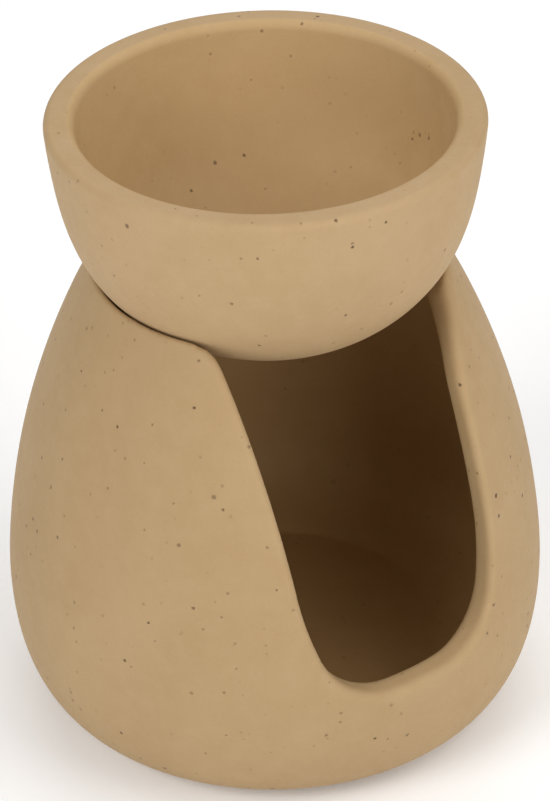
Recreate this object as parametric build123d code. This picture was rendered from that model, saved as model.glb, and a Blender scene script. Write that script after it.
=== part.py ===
from build123d import *
import os
import math

# Essential oil burner: a loose oil bowl that sits in the rim of a hollow,
# egg-shaped stoneware base with a U-shaped opening in its front wall.
# Millimetres, +Z up. The origin is on the table, under the base's centre.
# The opening faces -Y.

# ------------------------------------------------------------ dimensions
PAD_T = 1.0            # thickness of the small pads under the foot
PAD_D = 7.0            # pad diameter
PAD_RING_R = 30.8      # radius of the circle the pads sit on
PAD_COUNT = 4

FOOT_Z = PAD_T         # underside of the foot ring
FOOT_R_OUT = 36.4      # outer edge of the foot ring's flat face
FOOT_R_IN = 25.2       # inner edge of the foot ring
RECESS = 1.8           # depth of the recess inside the foot ring

FLOOR_Z = 10.0         # chamber floor
FLOOR_R = 30.0         # radius where the floor meets the wall
WALL_T = 6.0           # wall thickness of the base

SEAT_GAP = 0.33        # clearance between the bowl and its seat
NOSE_R = 0.9           # rounding of the rim's top edge
NOSE_AT = (32.02, 91.10)   # centre of that rounding
SEAT_IN_R = 1.5        # rounding of the seat's lower lip
FLOOR_FILLET = 2.0     # rounding where the floor meets the wall

# The opening is drawn upright and then leans as a whole, seen from the front.
LEAN = 4.05            # degrees, its top towards -X
LEAN_Z = 60.0          # height of the point it leans about
SILL_Z = 27.4          # sill of the front opening
SILL_HALF = 5.25       # half length of the sill's straight run
OPEN_CORNER_R = 13.2   # lower corners of the opening
OPEN_BOW_R = 53.6      # bowed run from the corners up into the sides
OPEN_BOW_AT = -16.0    # direction in which the corner passes into the bowed run
OPEN_SPREAD = 0.024    # how much each side moves out per millimetre of height
FLARE_LEFT = [(21.0, 89.5), (23.4, 95.6)]                  # left side, out to the rim
FLARE_RIGHT = [(20.93, 76.3), (22.1, 79.5), (28.4, 92.5)]  # right side, out to the rim
OPEN_EDGE_OUT = 2.0    # rounding of the opening's outer edge
OPEN_EDGE_IN = 2.0     # rounding of the opening's inner edge
WINDOW_Z = 82.0        # top of the part of the opening with rounded edges
WINDOW_R = 6.0         # run-out of that rounding
FLARE_FOOT = 64.0      # bottom of the cutter for the flared part
FLARE_TOP = 97.0       # top of that cutter

BOWL_WALL = 5.5        # bowl wall thickness
BOWL_TOP_Z = 122.0     # top of the bowl's lip
LIP_R_OUT = 1.3        # rounding of the lip's outer edge
LIP_R_IN = 1.9         # rounding of the lip's inner edge

# Outer profile of the base, (radius, height), from the foot to the rim.
WIDEST = (50.0, 27.6)
BASE_OUT = [
    (41.00, 2.35), (43.83, 4.70), (45.81, 7.50), (47.39, 10.82), (48.54, 14.44),
    (49.30, 18.20), (49.76, 22.00), (50.00, 27.60), (49.78, 33.20), (49.06, 40.28),
    (48.05, 47.08), (46.76, 53.74), (45.12, 60.42), (43.07, 67.24), (40.59, 74.26),
    (37.64, 81.45), (35.97, 85.10), (34.24, 88.60),
]

# Outer profile of the bowl, (radius, height), from its small flat to the lip.
BOWL_FLAT_R = 9.0
BOWL_FLAT_Z = 79.0
BOWL_OUT = [
    (14.00, 80.30), (18.30, 81.95), (22.40, 84.10), (26.15, 86.78), (27.92, 88.36),
    (29.60, 90.09), (31.16, 91.98), (32.60, 93.99), (33.87, 96.11), (34.95, 98.41),
    (36.66, 103.28), (37.86, 108.46), (38.73, 113.96),
]
BOWL_LIP = (39.62, 122.0)
SEAT_PTS = [(31.16, 91.98), (29.60, 90.09), (27.92, 88.36)]   # the part of it over the seat
BOWL_IN_Z = 84.8               # lowest point inside the bowl


# ------------------------------------------------------------ helpers
def inward(points, t):
    """The same curve, t further in, from three neighbours' directions."""
    out = []
    for i, (r, z) in enumerate(points):
        a = points[max(i - 1, 0)]
        b = points[min(i + 1, len(points) - 1)]
        dr, dz = b[0] - a[0], b[1] - a[1]
        n = math.hypot(dr, dz)
        out.append((r - t * dz / n, z + t * dr / n))
    return out


def polar(centre, r, degrees):
    a = math.radians(degrees)
    return (centre[0] + r * math.cos(a), centre[1] + r * math.sin(a))


def heading(degrees):
    a = math.radians(degrees)
    return (math.cos(a), math.sin(a))


# ------------------------------------------------------------ oil bowl
def bowl():
    outer = [(BOWL_FLAT_R, BOWL_FLAT_Z)] + BOWL_OUT + [BOWL_LIP]
    inner = inward(outer, BOWL_WALL)
    # the inside runs out level at the bottom and straight up to the lip
    inner_pts = [p for p in inner if p[0] > 11.0 and p[1] < 118.0]
    with BuildSketch(Plane.XZ) as sk:
        with BuildLine() as ln:
            flat = Line((0, BOWL_FLAT_Z), (BOWL_FLAT_R, BOWL_FLAT_Z))
            side = Spline([(r, z) for r, z in outer],
                          tangents=[(math.cos(math.radians(10)), math.sin(math.radians(10))),
                                    (math.cos(math.radians(85.5)), math.sin(math.radians(85.5)))])
            lip = Line((BOWL_LIP[0], BOWL_LIP[1]), (BOWL_LIP[0] - BOWL_WALL, BOWL_LIP[1]))
            ins = Spline([(BOWL_LIP[0] - BOWL_WALL, BOWL_LIP[1])] + inner_pts[::-1] + [(0, BOWL_IN_Z)],
                         tangents=[(-math.cos(math.radians(85.5)), -math.sin(math.radians(85.5))), (-1, 0)])
            Line((0, BOWL_IN_Z), (0, BOWL_FLAT_Z))
        make_face()
    body = revolve(sk.sketch, Axis.Z, 360)
    top = [e for e in body.edges() if abs(e.center().Z - BOWL_TOP_Z) < 0.01]
    outs = [e for e in top if abs(e.radius - BOWL_LIP[0]) < 0.05]
    ins_ = [e for e in top if abs(e.radius - (BOWL_LIP[0] - BOWL_WALL)) < 0.05]
    body = fillet(outs, LIP_R_OUT)
    ins_ = [e for e in body.edges() if e.geom_type == GeomType.CIRCLE and abs(e.center().Z - BOWL_TOP_Z) < 0.01
            and abs(e.radius - (BOWL_LIP[0] - BOWL_WALL)) < 0.05]
    body = fillet(ins_, LIP_R_IN)
    return body


# ------------------------------------------------------------ base
def bow_end():
    """Where the bowed run ends and the opening's straight side starts."""
    c = polar((SILL_HALF, SILL_Z + OPEN_CORNER_R), OPEN_CORNER_R - OPEN_BOW_R, OPEN_BOW_AT)
    return polar(c, OPEN_BOW_R, -math.degrees(math.atan(OPEN_SPREAD))), c


def half_width(z):
    """Half width of the opening's straight side at height z."""
    (x, z0), _ = bow_end()
    return x + OPEN_SPREAD * (z - z0)


def leaned(tool):
    return Pos(0, 0, LEAN_Z) * Rot(0, -LEAN, 0) * Pos(0, 0, -LEAN_Z) * tool


def outer_radius(z):
    pts = BASE_OUT + [polar(NOSE_AT, NOSE_R, 28)]
    for a, b in zip(pts[:-1], pts[1:]):
        if a[1] <= z <= b[1]:
            return a[0] + (b[0] - a[0]) * (z - a[1]) / (b[1] - a[1])
    return pts[-1][0]


def base_turned():
    """The base as thrown, before the opening is cut."""
    wall_in = [p for p in inward(BASE_OUT, WALL_T) if 22.0 < p[1] < 80.0]
    # faces of the rim: outside at 28 degrees, seat at 142, seat's lower lip 134 to 209
    seat_top = polar(NOSE_AT, NOSE_R, 142)
    seat_mid = inward(SEAT_PTS, SEAT_GAP)[1]
    seat_low = inward(SEAT_PTS, SEAT_GAP)[2]
    lip_at = polar(seat_low, SEAT_IN_R, 134 + 180)
    lip_end = polar(lip_at, SEAT_IN_R, 209)
    floor_at = (FLOOR_R, FLOOR_Z + FLOOR_FILLET)
    with BuildSketch(Plane.XZ) as sk:
        with BuildLine():
            Line((0, FOOT_Z + RECESS), (FOOT_R_IN - 1.2, FOOT_Z + RECESS))
            Line((FOOT_R_IN - 1.2, FOOT_Z + RECESS), (FOOT_R_IN, FOOT_Z))
            Line((FOOT_R_IN, FOOT_Z), (FOOT_R_OUT, FOOT_Z))
            # the outside is two curves that meet, upright, at the widest point
            Spline([(FOOT_R_OUT, FOOT_Z)] + [p for p in BASE_OUT if p[1] < WIDEST[1]] + [WIDEST],
                   tangents=[heading(10), heading(90)])
            Spline([WIDEST] + [p for p in BASE_OUT if p[1] > WIDEST[1]] + [polar(NOSE_AT, NOSE_R, 28)],
                   tangents=[heading(90), heading(118)])
            ThreePointArc(polar(NOSE_AT, NOSE_R, 28), polar(NOSE_AT, NOSE_R, 85), seat_top)
            Spline([seat_top, seat_mid, seat_low], tangents=[heading(232), heading(224)])
            ThreePointArc(seat_low, polar(lip_at, SEAT_IN_R, 171), lip_end)
            Spline([lip_end] + wall_in[::-1] + [(41.3, 17.0), (37.0, 13.2), polar(floor_at, FLOOR_FILLET, -58)],
                   tangents=[heading(-61), heading(212)])
            ThreePointArc(polar(floor_at, FLOOR_FILLET, -58), polar(floor_at, FLOOR_FILLET, -75),
                          (FLOOR_R, FLOOR_Z))
            Line((FLOOR_R, FLOOR_Z), (0, FLOOR_Z))
            Line((0, FLOOR_Z), (0, FOOT_Z + RECESS))
        make_face()
    return revolve(sk.sketch, Axis.Z, 360)


def base():
    body = base_turned()
    # The lower, U-shaped part of the opening, with both its edges rounded over.
    corner = (SILL_HALF, SILL_Z + OPEN_CORNER_R)
    up, bow = bow_end()
    ht = half_width(WINDOW_Z)
    half = (OPEN_BOW_AT - math.degrees(math.atan(OPEN_SPREAD))) / 2
    with BuildSketch(Plane.XZ) as sk:
        with BuildLine():
            Line((0, SILL_Z), (SILL_HALF, SILL_Z))
            ThreePointArc((SILL_HALF, SILL_Z), polar(corner, OPEN_CORNER_R, (OPEN_BOW_AT - 90) / 2),
                          polar(corner, OPEN_CORNER_R, OPEN_BOW_AT))
            ThreePointArc(polar(corner, OPEN_CORNER_R, OPEN_BOW_AT), polar(bow, OPEN_BOW_R, half), up)
            Line(up, (ht, WINDOW_Z))
            Line((ht, WINDOW_Z), (0, WINDOW_Z))
            Line((0, WINDOW_Z), (0, SILL_Z))
        make_face()
        mirror(about=Plane.YZ)
        fillet([v for v in sk.vertices() if abs(v.X) > 5 and abs(v.Y - WINDOW_Z) < 0.01], WINDOW_R)
    window = leaned(extrude(sk.sketch, 70))
    body = body - window
    side = [f for f in window.faces() if abs(f.normal_at(f.center()).Y) < 0.5]

    def rims(b):
        return [e for e in b.edges()
                if any(f.distance_to(e @ 0.5) < 1e-3 for f in side)
                and not (e.geom_type == GeomType.LINE and abs((e % 0.5).Y) > 0.99)]

    def depth(e):
        m = e @ 0.5
        return outer_radius(m.Z) - math.hypot(m.X, m.Y)

    body = fillet([e for e in rims(body) if depth(e) < 0.8], OPEN_EDGE_OUT)
    body = fillet([e for e in rims(body) if depth(e) > 4.5], OPEN_EDGE_IN)
    # The upper part runs out through the rim, with its corners turned outwards.
    with BuildSketch(Plane.XZ) as sk:
        with BuildLine():
            tops = []
            for sx, flare, zx, k in ((-1, FLARE_LEFT, WINDOW_Z - WINDOW_R - 0.5, 0.06),
                                     (1, FLARE_RIGHT, WINDOW_Z - WINDOW_R - 2.5, 0.13)):
                low = (sx * (half_width(zx) - 8 * k), zx - 8)
                Line((0, FLARE_FOOT), (low[0], FLARE_FOOT))
                Line((low[0], FLARE_FOOT), low)
                Line(low, (sx * flare[0][0], flare[0][1]))
                out = heading(42 if sx < 0 else 45)
                Spline([(sx * x, z) for x, z in flare], tangents=[(sx * k, 1.0), (sx * out[0], out[1])])
                Line((sx * flare[-1][0], flare[-1][1]), (sx * flare[-1][0], FLARE_TOP))
                tops.append((sx * flare[-1][0], FLARE_TOP))
            Line(tops[0], tops[1])
        make_face()
    body = body - leaned(extrude(sk.sketch, 70))
    return body.fix()


# ------------------------------------------------------------ foot pads
def pads():
    out = []
    for i in range(PAD_COUNT):
        a = math.radians(45 + i * 360 / PAD_COUNT)
        disc = Pos(PAD_RING_R * math.cos(a), PAD_RING_R * math.sin(a), PAD_T / 2) * Cylinder(PAD_D / 2, PAD_T)
        low = [e for e in disc.edges() if abs(e.center().Z) < 0.01]
        out.append(fillet(low, 0.35).solid())
    return Compound(children=out)


def main():
    os.makedirs("parts", exist_ok=True)
    nodes = {"burner_base": base(), "oil_bowl": bowl(), "foot_pads": pads()}
    for name, shape in nodes.items():
        bb = shape.bounding_box()
        print(name, "valid", shape.is_valid, "solids", len(shape.solids()), "volume %.0f" % shape.volume,
              "z %.2f to %.2f" % (bb.min.Z, bb.max.Z), "x %.2f to %.2f" % (bb.min.X, bb.max.X))
        export_step(shape, "parts/%s.step" % name)


if __name__ == "__main__":
    main()
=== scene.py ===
import math

import bpy
import numpy as np
from mathutils import Matrix, Vector


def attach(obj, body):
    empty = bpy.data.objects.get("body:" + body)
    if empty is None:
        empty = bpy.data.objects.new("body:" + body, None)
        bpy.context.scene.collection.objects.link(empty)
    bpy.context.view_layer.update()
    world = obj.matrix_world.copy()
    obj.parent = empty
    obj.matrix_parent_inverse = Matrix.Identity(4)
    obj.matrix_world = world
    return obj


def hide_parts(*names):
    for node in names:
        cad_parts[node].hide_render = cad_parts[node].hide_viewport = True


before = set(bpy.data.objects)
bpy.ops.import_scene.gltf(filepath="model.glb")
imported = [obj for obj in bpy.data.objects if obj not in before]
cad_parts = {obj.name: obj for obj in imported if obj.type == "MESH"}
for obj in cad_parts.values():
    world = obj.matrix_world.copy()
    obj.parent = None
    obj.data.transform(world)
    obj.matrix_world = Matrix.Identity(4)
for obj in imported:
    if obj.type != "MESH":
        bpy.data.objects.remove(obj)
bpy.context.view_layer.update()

MM = 0.001

# ------------------------------------------------------------ dimensions
FOOT_Z, FOOT_R_OUT, FOOT_R_IN, RECESS = 1.0, 36.4, 25.2, 1.8
FLOOR_Z, FLOOR_R, FLOOR_FILLET, WALL_T = 10.0, 30.0, 2.0, 6.0
SEAT_GAP, SEAT_IN_R = 0.33, 1.5
NOSE_R, NOSE_AT = 0.9, (32.02, 91.10)
# the opening is drawn upright and then leans as a whole, its top towards -X
LEAN, LEAN_Z, SILL_Z, SILL_HALF = 4.05, 60.0, 27.4, 5.25
OPEN_CORNER_R, OPEN_BOW_R, OPEN_BOW_AT, OPEN_SPREAD, OPEN_EDGE = 13.2, 53.6, -16.0, 0.024, 2.0
FLARE_LEFT = (89.5, [(23.4, 95.6)], 42.0)
FLARE_RIGHT = (72.0, [(22.1, 79.5), (28.4, 92.5)], 45.0)
WIDEST = (50.0, 27.6)
BASE_LOW = [(41.00, 2.35), (43.83, 4.70), (45.81, 7.50), (47.39, 10.82), (48.54, 14.44),
            (49.30, 18.20), (49.76, 22.00)]
BASE_HIGH = [(49.78, 33.20), (49.06, 40.28), (48.05, 47.08), (46.76, 53.74), (45.12, 60.42),
             (43.07, 67.24), (40.59, 74.26), (37.64, 81.45), (35.97, 85.10), (34.24, 88.60)]
SEAT_PTS = [(31.16, 91.98), (29.60, 90.09), (27.92, 88.36)]
BOWL_WALL, LIP_R_OUT, LIP_R_IN = 5.5, 1.3, 1.9
BOWL_FLAT_R, BOWL_FLAT_Z, BOWL_IN_Z = 9.0, 79.0, 84.8
BOWL_OUT = [(14.00, 80.30), (18.30, 81.95), (22.40, 84.10), (26.15, 86.78), (27.92, 88.36),
            (29.60, 90.09), (31.16, 91.98), (32.60, 93.99), (33.87, 96.11), (34.95, 98.41),
            (36.66, 103.28), (37.86, 108.46), (38.73, 113.96)]
BOWL_LIP = (39.62, 122.0)
PAD_T, PAD_D, PAD_RING_R, PAD_COUNT = 1.0, 7.0, 30.8, 4

# ------------------------------------------------------------ camera
# Where the photograph was taken from: 29.4 degrees to the left of the
# opening's middle, 33 degrees above the horizon, with a long lens.
VIEW_SIDE = math.radians(29.4)
CAM_DIST, CAM_Z = 670.94, 497.71
CAM_PITCH, CAM_YAW, CAM_ROLL = math.radians(33.055), math.radians(0.0523), math.radians(-1.227)
FOCAL_PX = 4329.7


def turned(v, angle):
    c, s = math.cos(angle), math.sin(angle)
    return Vector((v.x * c + v.y * s, v.y * c - v.x * s, v.z))


cp, sp = math.cos(CAM_PITCH), math.sin(CAM_PITCH)
cy, sy = math.cos(CAM_YAW), math.sin(CAM_YAW)
forward = Vector((sy * cp, cy * cp, -sp))
right = Vector((cy, -sy, 0.0))
up = right.cross(forward)
cr, sr = math.cos(CAM_ROLL), math.sin(CAM_ROLL)
right2, up2 = cr * right + sr * up, -sr * right + cr * up
place = turned(Vector((0.0, -CAM_DIST, CAM_Z)), VIEW_SIDE) * MM
right2, up2, back = (turned(v, VIEW_SIDE) for v in (right2, up2, -forward))
cam_data = bpy.data.cameras.new("camera")
cam = bpy.data.objects.new("camera", cam_data)
bpy.context.scene.collection.objects.link(cam)
cam.matrix_world = Matrix(((right2.x, up2.x, back.x, place.x),
                           (right2.y, up2.y, back.y, place.y),
                           (right2.z, up2.z, back.z, place.z),
                           (0, 0, 0, 1)))
cam_data.sensor_width = 36.0
cam_data.lens = FOCAL_PX * 36.0 / 801.0
cam_data.clip_start, cam_data.clip_end = 0.05, 20.0
bpy.context.scene.camera = cam


# ------------------------------------------------------------ curves
def heading(degrees):
    a = math.radians(degrees)
    return (math.cos(a), math.sin(a))


def polar(centre, r, degrees):
    a = math.radians(degrees)
    return (centre[0] + r * math.cos(a), centre[1] + r * math.sin(a))


def arc(centre, r, a, b, n):
    return np.array([polar(centre, r, t) for t in np.linspace(a, b, n)])


def spline(points, n, t0=None, t1=None):
    """A cubic spline through points, with the end directions t0 and t1."""
    P = np.asarray(points, float)
    L = np.r_[0, np.cumsum(np.hypot(*np.diff(P, axis=0).T))]
    m, h = len(P), np.diff(L)
    A, B = np.zeros((m, m)), np.zeros((m, 2))
    for i in range(1, m - 1):
        A[i, i - 1], A[i, i], A[i, i + 1] = h[i], 2 * (h[i] + h[i - 1]), h[i - 1]
        B[i] = 3 * (h[i] * (P[i] - P[i - 1]) / h[i - 1] + h[i - 1] * (P[i + 1] - P[i]) / h[i])
    if t0 is None:
        A[0, 0], A[0, 1], B[0] = 2, 1, 3 * (P[1] - P[0]) / h[0]
    else:
        A[0, 0], B[0] = 1, np.asarray(t0, float) / np.linalg.norm(t0)
    if t1 is None:
        A[-1, -1], A[-1, -2], B[-1] = 2, 1, 3 * (P[-1] - P[-2]) / h[-1]
    else:
        A[-1, -1], B[-1] = 1, np.asarray(t1, float) / np.linalg.norm(t1)
    M = np.linalg.solve(A, B)
    s = np.linspace(0, L[-1], n)
    i = np.clip(np.searchsorted(L, s, side="right") - 1, 0, m - 2)
    t, hh = ((s - L[i]) / h[i])[:, None], h[i][:, None]
    return ((2 * t**3 - 3 * t**2 + 1) * P[i] + (t**3 - 2 * t**2 + t) * hh * M[i]
            + (-2 * t**3 + 3 * t**2) * P[i + 1] + (t**3 - t**2) * hh * M[i + 1])


def inward(points, t):
    """The same curve, t further in."""
    out = []
    for i, (r, z) in enumerate(points):
        a, b = points[max(i - 1, 0)], points[min(i + 1, len(points) - 1)]
        dr, dz = b[0] - a[0], b[1] - a[1]
        n = math.hypot(dr, dz)
        out.append((r - t * dz / n, z + t * dr / n))
    return out


def rounded(a, b, c, r, n):
    """Points of an arc of radius r in the corner b of the line a, b, c."""
    a, b, c = (np.asarray(q, float) for q in (a, b, c))
    u, v = (a - b) / np.linalg.norm(a - b), (c - b) / np.linalg.norm(c - b)
    half = math.acos(float(np.clip(u @ v, -1, 1))) / 2
    m = (u + v) / np.linalg.norm(u + v)
    ctr = b + m * r / math.sin(half)
    p0, p1 = b + u * r / math.tan(half) - ctr, b + v * r / math.tan(half) - ctr
    ang = math.acos(float(np.clip((p0 @ p1) / r / r, -1, 1)))
    return np.array([ctr + (math.sin((1 - k / n) * ang) * p0 + math.sin(k / n * ang) * p1) / math.sin(ang)
                     for k in range(n + 1)])


# ------------------------------------------------------------ base, as a distance field
class Field:
    """Signed distance to a closed outline, negative inside, read off a grid."""

    def __init__(self, outline, x0, x1, y0, y1, step=0.25):
        self.x0, self.y0, self.h = x0, y0, step
        self.nx, self.ny = int(round((x1 - x0) / step)) + 1, int(round((y1 - y0) / step)) + 1
        xs, ys = x0 + np.arange(self.nx) * step, y0 + np.arange(self.ny) * step
        X, Y = np.meshgrid(xs, ys, indexing="ij")
        X, Y = X.ravel(), Y.ravel()
        P = np.asarray(outline, float)
        d2, inside = np.full(X.size, 1e18), np.zeros(X.size, bool)
        for i in range(len(P)):
            a, b = P[i], P[(i + 1) % len(P)]
            e = b - a
            size = e @ e
            if size < 1e-16:
                continue
            wx, wy = X - a[0], Y - a[1]
            t = np.clip((wx * e[0] + wy * e[1]) / size, 0, 1)
            wx -= t * e[0]
            wy -= t * e[1]
            np.minimum(d2, wx * wx + wy * wy, out=d2)
            c = (a[1] > Y) != (b[1] > Y)
            if c.any():
                xi = a[0] + (Y[c] - a[1]) * (b[0] - a[0]) / (b[1] - a[1])
                inside[np.flatnonzero(c)[X[c] < xi]] ^= True
        d = np.sqrt(d2)
        d[inside] *= -1
        self.g = d.reshape(self.nx, self.ny)

    def __call__(self, x, y):
        fx, fy = (x - self.x0) / self.h, (y - self.y0) / self.h
        ex = np.maximum(np.maximum(-fx, fx - (self.nx - 1.001)), 0) * self.h
        ey = np.maximum(np.maximum(-fy, fy - (self.ny - 1.001)), 0) * self.h
        fx, fy = np.clip(fx, 0, self.nx - 1.001), np.clip(fy, 0, self.ny - 1.001)
        i, j = fx.astype(int), fy.astype(int)
        u, v, g = fx - i, fy - j, self.g
        return (g[i, j] * (1 - u) * (1 - v) + g[i + 1, j] * u * (1 - v)
                + g[i, j + 1] * (1 - u) * v + g[i + 1, j + 1] * u * v) + np.hypot(ex, ey)


def round_max(a, b, r):
    """The two solids' common part, its edge rounded to radius r."""
    u, v = np.maximum(r + a, 0), np.maximum(r + b, 0)
    return np.minimum(-r, np.maximum(a, b)) + np.sqrt(u * u + v * v)


def turned_outlines():
    """Outline of the base's outside, and of the room inside it with the seat."""
    low = spline([(FOOT_R_OUT, FOOT_Z)] + BASE_LOW + [WIDEST], 90, heading(10), heading(90))
    high = spline([WIDEST] + BASE_HIGH + [polar(NOSE_AT, NOSE_R, 28)], 180, heading(90), heading(118))
    end = high[-1] + np.array(heading(118)) * 12
    outside = np.vstack([[(-30, FOOT_Z + RECESS), (FOOT_R_IN - 1.2, FOOT_Z + RECESS), (FOOT_R_IN, FOOT_Z)],
                         low, high[1:], [end, (-30, end[1])]])
    seat_top = np.array(polar(NOSE_AT, NOSE_R, 142))
    seat = inward(SEAT_PTS, SEAT_GAP)
    lip_at = polar(seat[2], SEAT_IN_R, 314)
    wall = [q for q in inward(BASE_LOW + [WIDEST] + BASE_HIGH, WALL_T) if 22 < q[1] < 80]
    floor_at = (FLOOR_R, FLOOR_Z + FLOOR_FILLET)
    above = seat_top - np.array(heading(232)) * 14
    room = np.vstack([[(-30, 110)], [(above[0], 110)], [above],
                      spline([seat_top, seat[1], seat[2]], 24, heading(232), heading(224)),
                      arc(lip_at, SEAT_IN_R, 134, 209, 10),
                      spline([polar(lip_at, SEAT_IN_R, 209)] + wall[::-1]
                             + [(41.3, 17.0), (37.0, 13.2), polar(floor_at, FLOOR_FILLET, -58)],
                             220, heading(-61), heading(212)),
                      arc(floor_at, FLOOR_FILLET, -58, -90, 6), [(-30, FLOOR_Z)]])
    return outside, room


def opening_outline():
    corner = (SILL_HALF, SILL_Z + OPEN_CORNER_R)
    bow = polar(corner, OPEN_CORNER_R - OPEN_BOW_R, OPEN_BOW_AT)
    half = np.vstack([[(0, SILL_Z)], arc(corner, OPEN_CORNER_R, -90, OPEN_BOW_AT, 20),
                      arc(bow, OPEN_BOW_R, OPEN_BOW_AT, -math.degrees(math.atan(OPEN_SPREAD)), 20)[1:]])
    sides = []
    for start, through, angle in (FLARE_LEFT, FLARE_RIGHT):
        x, z = half[-1]
        top = (x + OPEN_SPREAD * (start - z), start)
        flare = spline([top] + through, 28, (OPEN_SPREAD, 1), heading(angle))
        sides.append(np.vstack([half, flare, [flare[-1] + 14 * np.array(heading(angle))]]))
    P = np.vstack([sides[0][::-1] * [-1, 1], sides[1][1:]])
    c, w = math.cos(math.radians(LEAN)), math.sin(math.radians(LEAN))
    x, z = P[:, 0], P[:, 1] - LEAN_Z
    P = np.stack([x * c - z * w, LEAN_Z + x * w + z * c], 1)
    return np.vstack([[(P[0, 0], 130)], P, [(P[-1, 0], 130)]])


outside, room = (Field(q, 0, 62, -6, 104) for q in turned_outlines())
opening = Field(opening_outline(), -50, 50, 10, 112)


def base_distance(P):
    x, y, z = P[:, 0], P[:, 1], P[:, 2]
    r = np.hypot(x, y)
    wall = round_max(outside(r, z), -room(r, z), NOSE_R)
    # the cut is rounded a little more where its right side turns out to the rim
    high = np.clip((z - 66) / 18, 0, 1) * np.clip(x / 8, 0, 1)
    return round_max(wall, -np.maximum(opening(x, z), y), OPEN_EDGE + 0.7 * high)


def gradient(f, P, e=0.12):
    g = np.empty_like(P)
    for k in range(3):
        d = np.zeros(3)
        d[k] = e
        g[:, k] = (f(P + d) - f(P - d)) / (2 * e)
    return g


def settle(f, P, rounds):
    """Moves the points onto the surface f = 0."""
    for _ in range(rounds):
        g = gradient(f, P)
        n2 = np.maximum((g * g).sum(1), 0.25)
        P = P - g * (f(P) / n2)[:, None]
    return P


def skin(f, lo, hi, step):
    """Vertices and quads of the surface f = 0, one vertex in each grid cell it passes."""
    axes = [np.arange(a, b + step, step) for a, b in zip(lo, hi)]
    X, Y, Z = np.meshgrid(*axes, indexing="ij")
    F = f(np.stack([X.ravel(), Y.ravel(), Z.ravel()], 1)).reshape(X.shape)
    S, shape = F < 0, np.array(F.shape)
    key = lambda c: (c[:, 0] * shape[1] + c[:, 1]) * shape[2] + c[:, 2]
    cells, points, quads = [], [], []
    for ax in range(3):
        a = [slice(None)] * 3
        b = [slice(None)] * 3
        a[ax], b[ax] = slice(0, -1), slice(1, None)
        at = np.argwhere(S[tuple(a)] != S[tuple(b)])
        nxt = at.copy()
        nxt[:, ax] += 1
        f0, f1 = F[tuple(at.T)], F[tuple(nxt.T)]
        p = at.astype(float)
        p[:, ax] += f0 / (f0 - f1)
        u, v = (ax + 1) % 3, (ax + 2) % 3
        ring = []
        for du, dv in ((1, 1), (0, 1), (0, 0), (1, 0)):
            c = at.copy()
            c[:, u] -= du
            c[:, v] -= dv
            ring.append(key(c))
            cells.append(ring[-1])
            points.append(p)
        q = np.stack(ring, 1)
        flip = ~S[tuple(at.T)]
        q[flip] = q[flip][:, ::-1]
        quads.append(q)
    cells, points, quads = np.concatenate(cells), np.concatenate(points), np.concatenate(quads)
    ids, inv = np.unique(cells, return_inverse=True)
    inv = inv.ravel()
    count = np.bincount(inv)
    V = np.stack([np.bincount(inv, points[:, k]) / count for k in range(3)], 1) * step + np.array(lo)
    return V, np.searchsorted(ids, quads)


def relax(V, Q, amount):
    """Evens out the spacing of the vertices."""
    a, b = Q.ravel(), np.roll(Q, -1, axis=1).ravel()
    n = len(V)
    count = np.bincount(a, minlength=n) + np.bincount(b, minlength=n)
    mean = np.stack([(np.bincount(a, V[b, k], n) + np.bincount(b, V[a, k], n)) / count for k in range(3)], 1)
    return V + (mean - V) * amount


def make_mesh(name, V, F, body, node):
    mesh = bpy.data.meshes.new(name)
    mesh.from_pydata((np.asarray(V) * MM).tolist(), [], [list(map(int, q)) for q in F])
    mesh.validate()
    mesh.update()
    for p in mesh.polygons:
        p.use_smooth = True
    obj = bpy.data.objects.new(name, mesh)
    bpy.context.scene.collection.objects.link(obj)
    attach(obj, body)
    if node:
        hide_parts(node)
    return obj


STEP = 0.7
V, Q = skin(base_distance, (-51.3, -51.3, 0.31), (51.3, 51.3, 93.4), STEP)
V = settle(base_distance, V, 3)
for _ in range(3):
    V = settle(base_distance, relax(V, Q, 0.6), 2)
V = settle(base_distance, V, 2)
base_obj = make_mesh("stoneware_base", V, Q, "base", "burner_base")


# ------------------------------------------------------------ turned pieces
def resample(points, step):
    P = np.asarray(points, float)
    L = np.r_[0, np.cumsum(np.hypot(*np.diff(P, axis=0).T))]
    n = max(int(round(L[-1] / step)), 2)
    s = np.linspace(0, L[-1], n + 1)
    return np.stack([np.interp(s, L, P[:, 0]), np.interp(s, L, P[:, 1])], 1)


def lathe(profile, n):
    """A closed turned surface from an outline that starts and ends on the axis, outline going up the outside."""
    rings = [q for q in profile if q[0] > 1e-6]
    a = np.arange(n) * 2 * math.pi / n
    V = [(0.0, 0.0, profile[0][1])]
    for r, z in rings:
        V += [(r * math.cos(t), r * math.sin(t), z) for t in a]
    V.append((0.0, 0.0, profile[-1][1]))
    F, m = [], len(rings)
    for k in range(n):
        F.append((0, 1 + (k + 1) % n, 1 + k))
    for i in range(m - 1):
        o, u = 1 + i * n, 1 + (i + 1) * n
        for k in range(n):
            F.append((o + k, o + (k + 1) % n, u + (k + 1) % n, u + k))
    o, last = 1 + (m - 1) * n, len(V) - 1
    for k in range(n):
        F.append((o + k, o + (k + 1) % n, last))
    return np.array(V), F


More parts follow.
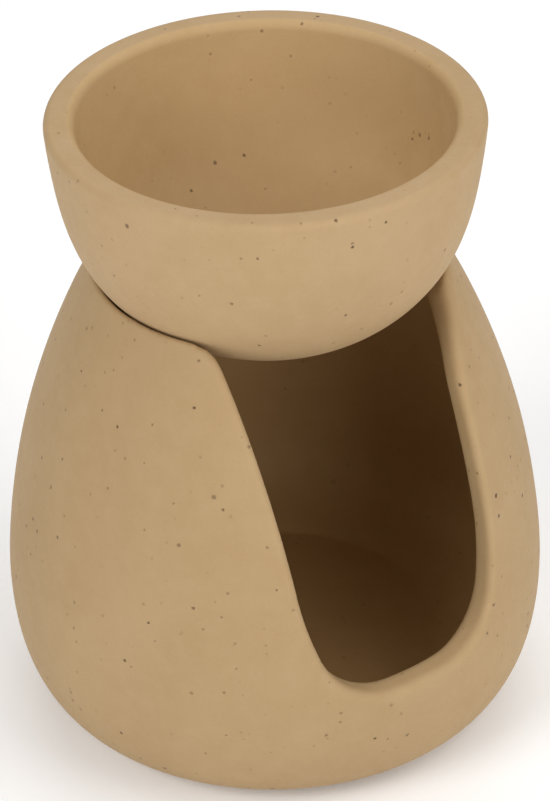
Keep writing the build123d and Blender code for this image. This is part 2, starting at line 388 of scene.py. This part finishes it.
def bowl_profile():
    outer = [(BOWL_FLAT_R, BOWL_FLAT_Z)] + BOWL_OUT + [BOWL_LIP]
    inner = [q for q in inward(outer, BOWL_WALL) if q[0] > 11 and q[1] < 118]
    side = spline(outer, 400, heading(10), heading(85.5))
    lip_in = (BOWL_LIP[0] - BOWL_WALL, BOWL_LIP[1])
    inside = spline([lip_in] + inner[::-1] + [(0, BOWL_IN_Z)], 400, heading(265.5), (-1, 0))
    side = side[side[:, 1] < BOWL_LIP[1] - LIP_R_OUT * 1.02]
    inside = inside[inside[:, 1] < BOWL_LIP[1] - LIP_R_IN * 1.02]
    out_arc = rounded(side[-1], BOWL_LIP, lip_in, LIP_R_OUT, 10)
    in_arc = rounded(BOWL_LIP, lip_in, inside[0], LIP_R_IN, 12)
    return np.vstack([resample(np.vstack([[(0, BOWL_FLAT_Z)], side[:1]]), 1.2)[:-1],
                      resample(side, 0.6)[:-1], out_arc, in_arc, resample(inside, 0.6)[1:]])


BV, BF = lathe(bowl_profile(), 288)
bowl_obj = make_mesh("oil_bowl_shell", BV, BF, "bowl", "oil_bowl")

pads_V, pads_F = [], []
for i in range(PAD_COUNT):
    a = math.radians(45 + i * 360 / PAD_COUNT)
    r = PAD_D / 2
    outline = np.vstack([[(0, 0.06)], arc((r - 0.5, 0.42), 0.42, -90, -10, 7),
                         [(r - 0.06, 0.62)], [(r - 0.14, PAD_T)], [(0, PAD_T)]])
    outline[1:7, 0] = np.minimum(outline[1:7, 0], r)
    pv, pf = lathe(outline, 40)
    off = sum(len(q) for q in pads_V)
    pads_V.append(pv + np.array([PAD_RING_R * math.cos(a), PAD_RING_R * math.sin(a), 0]))
    pads_F += [tuple(k + off for k in f) for f in pf]
pads_obj = make_mesh("foot_pad_discs", np.vstack(pads_V), pads_F, "base", "foot_pads")


# ------------------------------------------------------------ materials
def srgb(r, g, b):
    f = lambda c: c / 12.92 if c <= 0.04045 else ((c + 0.055) / 1.055) ** 2.4
    return (f(r / 255), f(g / 255), f(b / 255), 1.0)


class Tree:
    """Short calls for a material's nodes."""

    def __init__(self, name):
        self.mat = bpy.data.materials.new(name)
        self.mat.use_nodes = True
        self.t = self.mat.node_tree
        self.t.nodes.clear()
        self.out = self.t.nodes.new("ShaderNodeOutputMaterial")
        self.bsdf = self.t.nodes.new("ShaderNodeBsdfPrincipled")
        self.t.links.new(self.bsdf.outputs["BSDF"], self.out.inputs["Surface"])
        self.where = self.t.nodes.new("ShaderNodeTexCoord").outputs["Object"]

    def put(self, socket, value):
        if isinstance(value, bpy.types.NodeSocket):
            self.t.links.new(value, socket)
        else:
            socket.default_value = value

    def math(self, op, a, b=0.0, c=None, clamp=False):
        n = self.t.nodes.new("ShaderNodeMath")
        n.operation, n.use_clamp = op, clamp
        self.put(n.inputs[0], a)
        self.put(n.inputs[1], b)
        if c is not None:
            self.put(n.inputs[2], c)
        return n.outputs[0]

    def noise(self, scale, detail=2.0, rough=0.5, distort=0.0, where=None):
        n = self.t.nodes.new("ShaderNodeTexNoise")
        self.put(n.inputs["Vector"], where or self.where)
        n.inputs["Scale"].default_value, n.inputs["Detail"].default_value = scale, detail
        n.inputs["Roughness"].default_value, n.inputs["Distortion"].default_value = rough, distort
        return n.outputs[0]

    def voronoi(self, scale, rand=1.0, where=None):
        n = self.t.nodes.new("ShaderNodeTexVoronoi")
        self.put(n.inputs["Vector"], where or self.where)
        n.inputs["Scale"].default_value, n.inputs["Randomness"].default_value = scale, rand
        return n.outputs["Distance"], n.outputs["Color"]

    def span(self, value, a, b, lo=0.0, hi=1.0, smooth=False):
        n = self.t.nodes.new("ShaderNodeMapRange")
        n.interpolation_type = "SMOOTHSTEP" if smooth else "LINEAR"
        for k, x in zip(("Value", "From Min", "From Max", "To Min", "To Max"), (value, a, b, lo, hi)):
            self.put(n.inputs[k], x)
        return n.outputs["Result"]

    def mix(self, fac, a, b, mode="MIX"):
        n = self.t.nodes.new("ShaderNodeMix")
        n.data_type, n.blend_type = "RGBA", mode
        self.put(n.inputs["Factor"], fac)
        self.put([s for s in n.inputs if s.name == "A" and s.type == "RGBA"][0], a)
        self.put([s for s in n.inputs if s.name == "B" and s.type == "RGBA"][0], b)
        return [s for s in n.outputs if s.type == "RGBA"][0]

    def channel(self, colour, k):
        n = self.t.nodes.new("ShaderNodeSeparateColor")
        self.put(n.inputs[0], colour)
        return n.outputs[k]

    def moved(self, offset):
        n = self.t.nodes.new("ShaderNodeVectorMath")
        n.operation = "ADD"
        self.put(n.inputs[0], self.where)
        n.inputs[1].default_value = offset
        return n.outputs[0]

    def xyz(self):
        n = self.t.nodes.new("ShaderNodeSeparateXYZ")
        self.put(n.inputs[0], self.where)
        return n.outputs

    def base_inside_painted_shade_zone(self):
        """1 on the wall and floor of the room inside the base, 0 outside and on the cut face; the painted shade
        of the room is laid here.
        """
        x, y, z = self.xyz()
        r = self.math("SQRT", self.math("ADD", self.math("MULTIPLY", x, x), self.math("MULTIPLY", y, y)))
        dz = self.math("SUBTRACT", z, 0.0276)
        skin_r = self.math("SUBTRACT", 0.050, self.math("MULTIPLY", self.math("MULTIPLY", dz, dz), 4.25))
        deep = self.span(self.math("SUBTRACT", skin_r, r), 0.0050, 0.0060)
        return self.math("MULTIPLY", deep, self.span(z, 0.0080, 0.0095))

    def bowl_inside_painted_light_zone(self):
        """1 where the bowl's surface faces its own axis; the painted light of the bowl's inside is laid here."""
        x, y, z = self.xyz()
        n = self.t.nodes.new("ShaderNodeSeparateXYZ")
        self.put(n.inputs[0], self.t.nodes.new("ShaderNodeTexCoord").outputs["Normal"])
        out = self.math("ADD", self.math("MULTIPLY", x, n.outputs[0]), self.math("MULTIPLY", y, n.outputs[1]))
        return self.span(out, -0.012, -0.004, 1.0, 0.0)

    def bump(self, height, strength, distance, normal=None):
        n = self.t.nodes.new("ShaderNodeBump")
        n.inputs["Strength"].default_value, n.inputs["Distance"].default_value = strength, distance
        self.put(n.inputs["Height"], height)
        if normal is not None:
            self.put(n.inputs["Normal"], normal)
        return n.outputs["Normal"]

    def specks(self, cell_mm, share, r_lo, r_hi, offset, soft=0.35):
        """1 inside round specks: one cell in so many holds one, of a radius between r_lo and r_hi mm."""
        where = self.moved(offset)
        wob = self.t.nodes.new("ShaderNodeTexNoise")
        self.put(wob.inputs["Vector"], where)
        wob.inputs["Scale"].default_value, wob.inputs["Detail"].default_value = 2200.0, 1.0
        dist, colour = self.voronoi(1000.0 / cell_mm, 1.0, where)
        d = self.math("MULTIPLY", dist, cell_mm)
        d = self.math("ADD", d, self.math("MULTIPLY", self.math("SUBTRACT", wob.outputs[0], 0.5), r_hi * 0.9))
        pick = self.math("LESS_THAN", self.channel(colour, 0), share)
        radius = self.span(self.math("POWER", self.channel(colour, 1), 2.0), 0.0, 1.0, r_lo, r_hi)
        core = self.span(self.math("DIVIDE", d, radius), 1.0 - soft, 1.0 + soft, 1.0, 0.0, smooth=True)
        tone = self.channel(colour, 2)
        return self.math("MULTIPLY", core, pick), tone


def stoneware(name, seed, many, base, dark, light, inner):
    """Speckled clay. many scales the number of specks; inner is (where the inside is, its tint of painted light
    and shade, the specks' strength there).
    """
    m = Tree(name)
    inside = inner[0](m)
    keep = m.span(inside, 0.0, 1.0, 1.0, inner[2])
    o = (seed * 0.137, seed * 0.071, seed * 0.193)
    cloud = m.noise(34.0, 3.0, 0.55, 0.3, m.moved(o))
    col = m.mix(m.span(cloud, 0.35, 0.65, 0.0, 1.0, smooth=True), dark, base)
    mottle = m.noise(240.0, 4.0, 0.6, 0.0, m.moved(o))
    col = m.mix(m.span(mottle, 0.4, 0.75, 0.0, 0.45), col, light)
    grain = m.noise(2600.0, 2.0, 0.7, 0.0, m.moved(o))
    col = m.mix(m.span(grain, 0.30, 0.48, 0.10, 0.0), col, srgb(158, 124, 82))
    col = m.mix(m.span(grain, 0.56, 0.75, 0.0, 0.10), col, srgb(200, 173, 136))
    fine, tone1 = m.specks(1.30, 0.40 * many, 0.08, 0.20, (o[1] + 0.3, o[0], o[2]), 0.6)
    # painted light and shade: the inside is multiplied by its tint
    col = m.mix(inside, col, inner[1], "MULTIPLY")
    fine = m.math("MULTIPLY", fine, keep)
    col = m.mix(m.math("MULTIPLY", fine, m.span(tone1, 0, 1, 0.05, 0.22)), col, srgb(128, 94, 58))
    mid, tone2 = m.specks(2.3, 0.36 * many, 0.20, 0.36, (o[2] + 0.7, o[0], o[1]), 0.5)
    mid = m.math("MULTIPLY", mid, keep)
    col = m.mix(m.math("MULTIPLY", mid, m.span(tone2, 0, 1, 0.18, 0.60)), col, srgb(104, 72, 42))
    big, tone3 = m.specks(3.1, 0.34 * many, 0.28, 0.44, (o[0] + 1.3, o[1], o[2]), 0.45)
    big = m.math("MULTIPLY", big, keep)
    col = m.mix(m.math("MULTIPLY", big, m.span(tone3, 0, 1, 0.50, 0.95)), col, srgb(78, 52, 32))
    m.put(m.bsdf.inputs["Base Color"], col)
    rough = m.span(m.noise(900.0, 2.0, 0.6), 0.3, 0.7, 0.60, 0.74)
    rough = m.math("SUBTRACT", rough, m.math("MULTIPLY", big, 0.12))
    m.put(m.bsdf.inputs["Roughness"], rough)
    m.bsdf.inputs["Specular IOR Level"].default_value = 0.25
    n = m.bump(m.noise(1400.0, 3.0, 0.65), 0.14, 0.00010)
    n = m.bump(m.noise(90.0, 2.0, 0.5), 0.12, 0.0006, n)
    pits = m.math("ADD", m.math("MULTIPLY", fine, 0.3), m.math("ADD", mid, big))
    n = m.bump(m.math("MULTIPLY", pits, -1.0), 0.3, 0.00010, n)
    m.put(m.bsdf.inputs["Normal"], n)
    return m.mat


def pad_material():
    m = Tree("soft_pad")
    cloud = m.noise(900.0, 2.0, 0.5)
    m.put(m.bsdf.inputs["Base Color"], m.mix(m.span(cloud, 0.3, 0.7), srgb(196, 192, 184), srgb(176, 171, 162)))
    m.put(m.bsdf.inputs["Roughness"], m.span(m.noise(3000.0, 2.0, 0.5), 0.3, 0.7, 0.45, 0.6))
    m.put(m.bsdf.inputs["Normal"], m.bump(m.noise(5000.0, 2.0, 0.5), 0.2, 0.00005))
    return m.mat


# The base's inner room is multiplied by a darker, warmer tint as painted shade, and its specks are weakened to
# 0.30 there.
base_obj.data.materials.append(stoneware(
    "speckled_stoneware_base", 1.0, 0.95, srgb(176, 148, 108), srgb(172, 143, 103), srgb(181, 153, 115),
    (Tree.base_inside_painted_shade_zone, (1.0, 0.93, 0.77, 1.0), 0.30)))
# The bowl's inside is multiplied by a lighter tint as painted light, and its specks are weakened to 0.85 there.
bowl_obj.data.materials.append(stoneware(
    "speckled_stoneware_bowl", 2.0, 0.74, srgb(181, 152, 113), srgb(177, 148, 108), srgb(186, 158, 120),
    (Tree.bowl_inside_painted_light_zone, (1.09, 1.07, 1.00, 1.0), 0.85)))
pads_obj.data.materials.append(pad_material())

# ------------------------------------------------------------ floor and light
floor_mesh = bpy.data.meshes.new("floor")
floor_mesh.from_pydata([(-6, -6, 0), (6, -6, 0), (6, 6, 0), (-6, 6, 0)], [], [(0, 1, 2, 3)])
floor_obj = bpy.data.objects.new("floor", floor_mesh)
bpy.context.scene.collection.objects.link(floor_obj)
fm = Tree("pale_floor")
fm.bsdf.inputs["Base Color"].default_value = (0.95, 0.95, 0.95, 1)
fm.bsdf.inputs["Roughness"].default_value = 0.9
fm.bsdf.inputs["Specular IOR Level"].default_value = 0.1
fm.bsdf.inputs["Emission Color"].default_value = (1, 1, 1, 1)
fm.bsdf.inputs["Emission Strength"].default_value = 0.09
floor_mesh.materials.append(fm.mat)

world = bpy.data.worlds.new("studio")
world.use_nodes = True
world.node_tree.nodes["Background"].inputs["Color"].default_value = (1, 1, 1, 1)
world.node_tree.nodes["Background"].inputs["Strength"].default_value = 0.34
bpy.context.scene.world = world


def softbox(name, azimuth, elevation, distance, size, power):
    """A square area light, aimed at the object. Azimuth 0 is in front of the opening."""
    data = bpy.data.lights.new(name, "AREA")
    data.shape, data.size, data.energy = "SQUARE", size, power
    obj = bpy.data.objects.new(name, data)
    bpy.context.scene.collection.objects.link(obj)
    a, e = math.radians(azimuth), math.radians(elevation)
    aim = Vector((0, 0, 0.06))
    at = aim + distance * Vector((math.sin(a) * math.cos(e), -math.cos(a) * math.cos(e), math.sin(e)))
    obj.location = at
    obj.rotation_euler = (aim - at).to_track_quat("-Z", "Y").to_euler()
    return obj


softbox("right_softbox", 35, 38, 1.3, 1.1, 6.0)
softbox("left_softbox", -76, 36, 1.3, 0.6, 6.9)
softbox("front_softbox", -5, 14, 1.3, 0.4, 2.8)
softbox("back_softbox", 151, 42, 1.3, 1.1, 4.3)
softbox("top_softbox", 50, 71, 1.3, 1.1, 3.1)

bpy.context.scene.view_settings.view_transform = "Standard"
bpy.context.scene.view_settings.look = "None"
